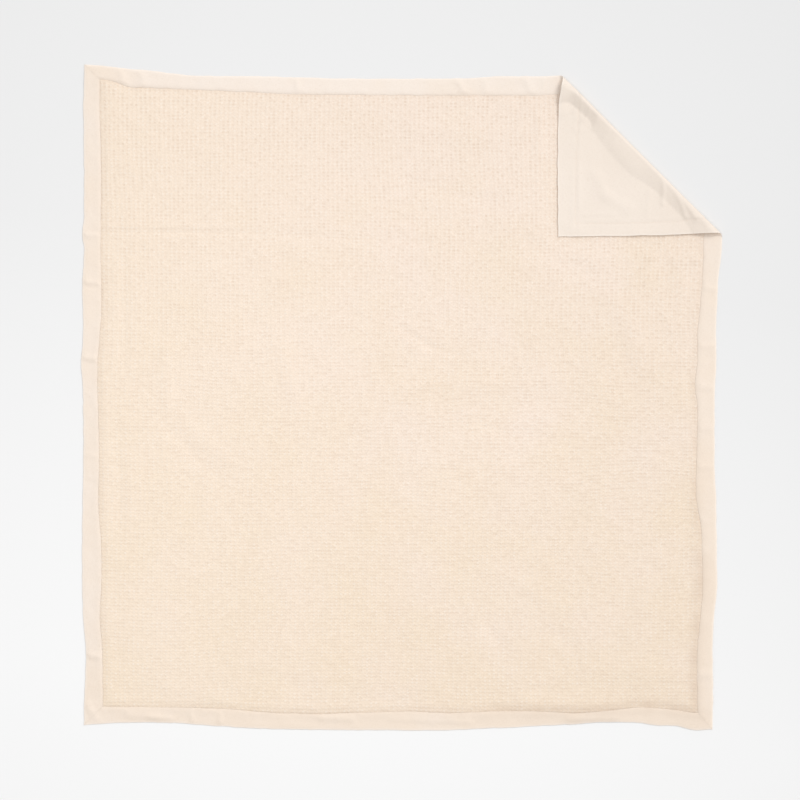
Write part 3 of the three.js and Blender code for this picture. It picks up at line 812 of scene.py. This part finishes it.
def make_face():
    loop = inset(whole_loop(SEAM), CLEARANCE / 2)
    flat, triangles = waffle_upper(loop)
    x, y = flat.T
    within = inside_seam(x, y)
    cells = cells_at(flat)
    relief = CELL_DEPTH * (rib_height(cells, x, y) - 1) * smooth_step(within, *CELLS_BEGIN)
    surface = STACK_LEVEL + WAFFLE_THICKNESS + relief - thinning(FACE_ROUNDING, within)
    upper = lay(flat, surface, face_lift)
    fill = filling(loop, UNDERSIDE_MARGIN, UNDERSIDE_STEP, HIDDEN_STEP, HIDDEN_BEND_STEP)
    low_flat, low_triangles = triangulated(loop, fill)
    lower = lay(low_flat, STACK_LEVEL)
    flat_part = low_flat @ ACROSS < ROLL_START
    envelope = lower_envelope(low_flat[flat_part], face_lift, UNDERSIDE_REACH)
    lower[flat_part, 2] += np.maximum(0, envelope - UNDERSIDE_SLACK)
    faces = [(flat, upper, triangles), (low_flat, lower, low_triangles)]
    # A map gives the paler outer edge and the painted shade beside the seam.
    return closed_sheet("face_cloth", loop, faces, {"cloth": in_metres, "cells": cells_at, "pale_edge_and_seam_shade": pale_edge_and_seam_shade})


def back_pale_edge(flat):
    """The back is paler at its edge too, and has no painted shade beside the seam."""
    return pale_edge_and_seam_shade(flat) * [1, 0]


def make_back():
    loop = inset(whole_loop(EDGE), CLEARANCE / 2)
    fill = filling(loop, FLAP_STEP * MARGIN_SHARE, FLAT_BACK_STEP, FLAP_STEP)
    flat, triangles = triangulated(loop, np.concatenate([inset(loop, BACK_RIM), fill]))
    within = inside_edge(*flat.T)
    upper = lay(flat, PLAIN_THICKNESS - thinning(BACK_ROUNDING, within))
    turned = smooth_step(flat @ ACROSS, FOLD_DISTANCE - RELIEF_BEGINS, FOLD_DISTANCE + RELIEF_BEGINS)
    lower = lay(flat, (thinning(BACK_UNDER_ROUNDING, within) - flap_relief(*flat.T)) * turned)
    faces = [(flat, upper, triangles), (flat, lower, triangles)]
    return closed_sheet("back_cloth", loop, faces, {"cloth": in_metres, "pale_edge_and_seam_shade": back_pale_edge})


def make_strip(side, before, after):
    loop = inset(strip_loop(side, before, after), CLEARANCE / 2)
    fill = filling(loop, STRIP_STEP * STRIP_MARGIN_SHARE, STRIP_STEP, STRIP_STEP)
    flat, triangles = triangulated(loop, np.concatenate([inset(loop, STRIP_RIM), fill]))
    x, y = flat.T
    rounding = thinning(SEAM_ROUNDING, -inside_seam(x, y)) + thinning(HEM_ROUNDING, inside_edge(x, y))
    upper = lay(flat, STACK_LEVEL + PLAIN_THICKNESS - rounding, strip_lift)
    lower = lay(flat, STACK_LEVEL, strip_lift)
    faces = [(flat, upper, triangles), (flat, lower, triangles)]
    # A map gives the paler outer edge and the painted shade beside the seam.
    return closed_sheet(f"{side}_flange", loop, faces, {"cloth": in_metres, "pale_edge_and_seam_shade": pale_edge_and_seam_shade})


def make_stitches(name, path, level, outward, lift):
    """Short stitches along a path of the flat cover, lying on a surface."""
    steps = np.linalg.norm(np.roll(path, -1, 0) - path, axis=1)
    reach = np.concatenate([[0], np.cumsum(steps)])
    closed = np.concatenate([path, path[:1]])
    starts = np.arange(0, reach[-1] - STITCH_PITCH, STITCH_PITCH)

    def at(distance):
        return np.stack([np.interp(distance, reach, closed[:, axis]) for axis in (0, 1)], 1)

    # A stitch has a point at each end, and between them two rings of four.
    columns = []
    for share, swell in ((0, 0), (0.2, 1), (0.8, 1), (1, 0)):
        middle = starts + share * STITCH_LENGTH
        ahead = at(middle + 0.5) - at(middle - 0.5)
        ahead /= np.linalg.norm(ahead, axis=1)[:, None]
        beside = np.stack([-ahead[:, 1], ahead[:, 0]], 1)
        around = ((1, 0.1), (0, 1), (-1, 0.1), (0, -0.8)) if swell else ((0, 1),)
        for side, up in around:
            flat = at(middle) + beside * (side * STITCH_HALF_WIDTH * swell)
            columns.append(lay(flat, level + outward * (STITCH_HEIGHT * up * swell), lift))
    points = np.stack(columns, 1)
    tip, end = 0, len(columns) - 1
    faces = []
    for k in range(4):
        n = (k + 1) % 4
        faces += [(tip, 1 + k, 1 + n), (1 + k, 5 + k, 5 + n), (1 + k, 5 + n, 1 + n), (5 + k, end, 5 + n)]
    faces = np.array(faces)
    if outward < 0:
        faces = faces[:, ::-1]
    first_points = len(columns) * np.arange(len(starts))
    triangles = (faces[None] + first_points[:, None, None]).reshape(-1, 3)
    return in_scene(name, smooth_mesh(name, points.reshape(-1, 3), triangles))


# Materials

class Nodes:
    """Short calls for making a material's nodes. Values are numbers, colours or outputs of nodes."""

    def __init__(self, name):
        self.material = bpy.data.materials.new(name)
        self.material.use_nodes = True
        self.tree = self.material.node_tree
        self.shader = self.tree.nodes["Principled BSDF"]

    def fill(self, node, inputs):
        """Links a node's inputs to outputs, or sets their values."""
        for key, value in inputs.items():
            if isinstance(value, bpy.types.NodeSocket):
                self.tree.links.new(value, node.inputs[key])
            else:
                node.inputs[key].default_value = value

    def add(self, kind, inputs, **settings):
        """Makes a node and gives its outputs."""
        node = self.tree.nodes.new(kind)
        for key, value in settings.items():
            setattr(node, key, value)
        self.fill(node, inputs)
        return node.outputs

    def math(self, operation, first, second=0.0, third=0.0):
        return self.add("ShaderNodeMath", {0: first, 1: second, 2: third}, operation=operation)[0]

    def uv(self, name):
        return self.add("ShaderNodeUVMap", {}, uv_map=name)[0]

    def split(self, vector):
        return self.add("ShaderNodeSeparateXYZ", {0: vector})[:2]

    def stretched(self, vector, x, y):
        return self.add("ShaderNodeVectorMath", {0: vector, 1: (x, y, 1)}, operation="MULTIPLY")[0]

    def noise(self, vector, scale, detail, roughness=0.5):
        inputs = {"Vector": vector, "Scale": scale, "Detail": detail, "Roughness": roughness}
        return self.add("ShaderNodeTexNoise", inputs)["Fac"]

    def own_of_cell(self, column, row):
        """A random number of each cell's own, from 0 to 1."""
        whole = {0: self.math("FLOOR", column), 1: self.math("FLOOR", row)}
        place = self.add("ShaderNodeCombineXYZ", whole)[0]
        return self.add("ShaderNodeTexWhiteNoise", {"Vector": place}, noise_dimensions="2D")["Value"]

    def mix(self, share, *colours):
        """The first colour at a share of 0, and the second at 1."""
        first, second = (linear(colour) if isinstance(colour, tuple) else colour for colour in colours)
        # The node's sockets for colours are its inputs 6 and 7 and its output 2.
        return self.add("ShaderNodeMix", {0: share, 6: first, 7: second}, data_type="RGBA")[2]

    def spread(self, value, low, high, out_low=0.0, out_high=1.0):
        """A value from low to high as one from out_low to out_high, and no further."""
        inputs = {"Value": value, "From Min": low, "From Max": high, "To Min": out_low, "To Max": out_high}
        return self.add("ShaderNodeMapRange", inputs)[0]

    def bump(self, height, distance, strength):
        inputs = {"Height": height, "Distance": distance, "Strength": strength}
        self.fill(self.shader, {"Normal": self.add("ShaderNodeBump", inputs)[0]})


def linear(colour):
    """Red, green and blue from 0 to 255 as shader values."""
    values = np.array(colour) / 255
    return (*np.where(values < 0.04045, values / 12.92, ((values + 0.055) / 1.055) ** 2.4), 1.0)


def cloth_shader(nodes, colour, roughness):
    nodes.fill(nodes.shader, {
        "Base Color": colour,
        "Roughness": roughness,
        "Specular IOR Level": 0.15,
        "Sheen Weight": 0.12,
        "Sheen Roughness": 0.5,
    })


def with_seam_shade_and_pale_edge(nodes, colour, dark_shade, share, pale_edge):
    """The colour, with a dark one painted beside the seam as shade and a pale one at the outer edge."""
    edge, seam = nodes.split(nodes.uv("pale_edge_and_seam_shade"))
    colour = nodes.mix(nodes.math("MULTIPLY", seam, share), colour, dark_shade)
    return nodes.mix(nodes.math("MULTIPLY", edge, PALE_EDGE_SHARE), colour, pale_edge)


def plain_cloth(name, thread, pale, deep, dark_shade):
    """Plain weave: threads of so many metres over and under, soft creases, uneven colour and painted light.
    """
    nodes = Nodes(name)
    cloth = nodes.uv("cloth")
    x, y = nodes.split(cloth)
    warp = nodes.math("SINE", nodes.math("MULTIPLY", x, 2 * math.pi / thread))
    weft = nodes.math("SINE", nodes.math("MULTIPLY", y, 2 * math.pi / thread))
    weave = nodes.math("MULTIPLY", warp, weft)
    slubs = nodes.noise(cloth, scale=260, detail=2)
    creases = nodes.noise(cloth, scale=26, detail=4, roughness=0.55)
    height = nodes.math("MULTIPLY_ADD", weave, 0.25, nodes.math("MULTIPLY", slubs, 0.5))
    height = nodes.math("MULTIPLY_ADD", creases, 3.0, height)
    nodes.bump(height, distance=0.0006, strength=0.5)

    # Painted light: paler towards the top, except on the left, and a little deeper to the right.
    painted_light_up = nodes.math("MULTIPLY", y, nodes.spread(x, -1.1, -0.8, 0.0, 0.23))
    painted_light_tilt = nodes.math("MULTIPLY_ADD", nodes.math("MAXIMUM", x, 0.0), -0.1, painted_light_up)
    clouds_and_painted_light = nodes.math("ADD", nodes.noise(cloth, scale=3.5, detail=3), painted_light_tilt)
    # The creases' hollows are painted a little deeper, as shade.
    share = nodes.spread(nodes.math("MULTIPLY_ADD", creases, 0.15, clouds_and_painted_light), 0.32, 0.92)
    colour = nodes.mix(share, deep, pale)
    along_warp = nodes.noise(nodes.stretched(cloth, 500, 90), scale=1, detail=2)
    along_weft = nodes.noise(nodes.stretched(cloth, 90, 500), scale=1, detail=2)
    yarn = nodes.math("ADD", along_warp, along_weft)
    colour = nodes.mix(nodes.spread(yarn, 1.0, 0.6, 0.0, 0.35), colour, dark_shade)
    # Painted shade beside the seam, and a paler outer edge.
    cloth_shader(nodes, with_seam_shade_and_pale_edge(nodes, colour, dark_shade, 0.35, PALE_EDGE_COLOUR), roughness=0.9)
    return nodes.material


def waffle_cloth(name, pale, deep, warm, light_yarn_and_highlight, dark_yarn_and_shade):
    """Waffle weave: the mesh has its cells, and the shader their uneven yarns, painted shade in the pits
    and a painted highlight where ribs cross.
    """
    nodes = Nodes(name)
    cloth = nodes.uv("cloth")
    across, up = nodes.split(cloth)
    column, row = nodes.split(nodes.uv("cells"))

    def ribs(place):
        """1 along the middle of ribs and 0 halfway between them."""
        return nodes.math("ABSOLUTE", nodes.math("COSINE", nodes.math("MULTIPLY", place, math.pi)))

    def threads(place, count, on_ribs):
        """Waves of single threads, so many to a cell, on the ribs that they cross."""
        wave = nodes.math("SINE", nodes.math("MULTIPLY", place, 2 * count * math.pi))
        return nodes.math("MULTIPLY", wave, on_ribs)

    # 0 on the floor of the pits and 1 on the ribs, of which the upright ones are narrower lower down.
    upright, level = ribs(column), ribs(row)
    narrowed = nodes.math("MULTIPLY", upright, nodes.spread(up, 0.0, 0.8, 0.72, 1.0))
    profile = nodes.spread(nodes.math("MAXIMUM", narrowed, level), 0.25, 0.8)
    half_way = nodes.math("ABSOLUTE", nodes.math("MULTIPLY_ADD", profile, 2.0, -1.0))
    foot = nodes.math("SUBTRACT", 1.0, half_way)

    # Yarns run up the upright ribs and across the level ones.
    on_level = nodes.spread(nodes.math("SUBTRACT", level, upright), -0.12, 0.12)
    warp = nodes.noise(nodes.stretched(cloth, 400, 130), scale=1, detail=3, roughness=0.6)
    weft = nodes.noise(nodes.stretched(cloth, 130, 400), scale=1, detail=3, roughness=0.6)
    yarn = nodes.math("MULTIPLY_ADD", on_level, nodes.math("SUBTRACT", weft, warp), warp)
    unevenness = nodes.math("MULTIPLY_ADD", across, 0.17, nodes.math("MULTIPLY_ADD", up, 0.27, 1.0))
    uneven_yarn = nodes.math("MULTIPLY", nodes.math("SUBTRACT", yarn, 0.5), unevenness)

    fine = nodes.math("ADD", threads(column, 9, level), threads(row, 7, upright))
    height = nodes.math("MULTIPLY_ADD", fine, 0.3, yarn)
    height = nodes.math("MULTIPLY_ADD", nodes.noise(cloth, scale=420, detail=3), 0.6, height)
    height = nodes.math("MULTIPLY_ADD", profile, 1.5, height)
    nodes.bump(height, distance=0.0006, strength=0.7)

    # Soft clouds of colour, painted light that makes it paler towards the top left, and warmer to the left.
    painted_light_tilt = nodes.math("MULTIPLY_ADD", across, -0.088, nodes.math("MULTIPLY", up, 0.185))
    clouds_and_painted_light = nodes.math("ADD", nodes.noise(cloth, scale=3.2, detail=3), painted_light_tilt)
    colour = nodes.mix(nodes.spread(clouds_and_painted_light, 0.223, 0.663), deep, pale)
    colour = nodes.mix(nodes.spread(across, 0.0, -1.0, 0.0, 0.5), colour, warm)
    colour = nodes.mix(nodes.spread(uneven_yarn, 0.0, 0.3, 0.0, 0.7), colour, light_yarn_and_highlight)
    colour = nodes.mix(nodes.spread(uneven_yarn, 0.0, -0.3, 0.0, 0.35), colour, dark_yarn_and_shade)

    # Every crossing of ribs and every pit has a shade of its own; the raised crossings get a painted
    # highlight. Half a cell leads from pits to crossings, and another 300 gives these other random numbers.
    crossing = nodes.spread(nodes.math("MINIMUM", upright, level), 0.6, 0.95, 0.0, 0.6)
    own_crossing = nodes.own_of_cell(nodes.math("ADD", column, 300.5), nodes.math("ADD", row, 0.5))
    colour = nodes.mix(nodes.math("MULTIPLY", crossing, own_crossing), colour, light_yarn_and_highlight)
    # Each pit's painted shade is as strong as a random number of its own.
    own_pit = nodes.math("SUBTRACT", nodes.own_of_cell(column, row), 0.5)
    own_pit = nodes.math("MULTIPLY_ADD", own_pit, nodes.math("MULTIPLY", unevenness, 1.5), 0.3)
    # Painted shade at the foot of the ribs, on the pits' floor, and in grooves between upright ribs higher
    # up.
    pit_shade_share = nodes.math("MULTIPLY_ADD", foot, 0.38, nodes.spread(profile, 1.0, 0.0, 0.0, 0.18))
    between_upright = nodes.spread(upright, 0.2, 0.9, 1.0, 0.0)
    groove_shade = nodes.math("MULTIPLY", between_upright, nodes.spread(up, 0.1, 1.0, 0.0, 0.08))
    depth = nodes.math("MAXIMUM", nodes.math("MULTIPLY_ADD", pit_shade_share, own_pit, groove_shade), 0.0)
    colour = nodes.mix(depth, colour, dark_yarn_and_shade)
    # The darkest colour is also painted beside the seam as shade, and the pale one at the outer edge.
    cloth_shader(nodes, with_seam_shade_and_pale_edge(nodes, colour, dark_yarn_and_shade, 0.5, pale), roughness=0.95)
    return nodes.material


def thread_material():
    nodes = Nodes("thread")
    place = nodes.add("ShaderNodeTexCoord", {})["Object"]
    twist = nodes.noise(place, scale=900, detail=2)
    nodes.bump(twist, distance=0.0002, strength=0.5)
    share = nodes.spread(twist, 0.3, 0.7)
    colour = nodes.mix(share, THREAD_COLOUR, THREAD_LIGHT_COLOUR)
    cloth_shader(nodes, colour, roughness=0.7)
    return nodes.material


def floor_material():
    """A pale floor with painted light, a little paler towards the bottom of the picture."""
    nodes = Nodes("pale_floor")
    x, y = nodes.split(nodes.add("ShaderNodeTexCoord", {})["Object"])
    down = nodes.math("MULTIPLY_ADD", x, -0.13, nodes.math("MULTIPLY", y, -1))
    colour = nodes.mix(nodes.spread(down, -0.5, 1.1), FLOOR_COLOUR, FLOOR_PALE_COLOUR)
    nodes.fill(nodes.shader, {"Base Color": colour, "Roughness": 0.9, "Specular IOR Level": 0.1})
    return nodes.material


def finish_piece(piece, material, nodes):
    piece.data.materials.append(material)
    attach(piece, "root")
    if nodes:
        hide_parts(*nodes)


# The pieces

plain_front = plain_cloth("flange_weave", thread=0.0009, **FLANGE_COLOURS)
plain_back = plain_cloth("back_weave", thread=0.0008, **BACK_COLOURS)
waffle = waffle_cloth("waffle_weave", **WAFFLE_COLOURS)
thread = thread_material()

stitch_path = inset(whole_loop(SEAM), -STITCHES_OUT)
flange_surface = STACK_LEVEL + PLAIN_THICKNESS
front_stitches = make_stitches("front_topstitching", stitch_path, flange_surface, 1, strip_lift)
finish_piece(front_stitches, thread, [])
back_stitches = make_stitches("back_topstitching", stitch_path, 0, -1, no_lift)
finish_piece(back_stitches, thread, [])

back = make_back()
finish_piece(back, plain_back, ["back_panel"])

face = make_face()
finish_piece(face, waffle, ["face_panel"])

for side, (before, after, length) in STRIPS.items():
    strip = make_strip(side, before, after)
    finish_piece(strip, plain_front, [f"flange_{side}"])


# Floor, light and camera

def make_floor():
    """A floor that reaches out of sight, just below the cover's flat underside."""
    bpy.ops.mesh.primitive_plane_add(size=40, location=(0, 0, -0.0003))
    floor = bpy.context.object
    floor.name = "floor"
    floor.data.materials.append(floor_material())


def make_light():
    """A bright room, a broad lamp above and a soft key light from the upper right."""
    world = bpy.data.worlds.new("studio")
    world.use_nodes = True
    background = world.node_tree.nodes["Background"]
    background.inputs["Color"].default_value = (1, 1, 1, 1)
    background.inputs["Strength"].default_value = 0.61
    bpy.context.scene.world = world
    key = bpy.data.lights.new("key", "SUN")
    key.energy = 1.35
    key.angle = math.radians(24)
    add_lamp(key, (1, 1, 1.35), (1, 1, 1.35))
    broad = bpy.data.lights.new("broad", "AREA")
    broad.shape = "DISK"
    broad.size = 2.4
    broad.energy = 28
    add_lamp(broad, (-0.25, 0.1, 3.6), (0, 0, 1))


def add_lamp(light, place, towards):
    lamp = in_scene(light.name, light)
    lamp.location = place
    lamp.rotation_euler = Vector(towards).to_track_quat("Z", "Y").to_euler()
    lamp.visible_camera = False


def make_camera():
    """Straight above, so that a pixel of the picture is as long as it is in the photograph."""
    height = 9.0
    view_width = 2.8269
    middle = (-0.0058, -0.0089)
    camera = bpy.data.cameras.new("camera")
    camera.sensor_width = 36
    camera.lens = camera.sensor_width * height / view_width
    camera.clip_end = 60
    holder = in_scene("camera", camera)
    holder.location = (*middle, height)
    bpy.context.scene.camera = holder


make_floor()
make_light()
make_camera()
bpy.context.scene.view_settings.view_transform = "Standard"
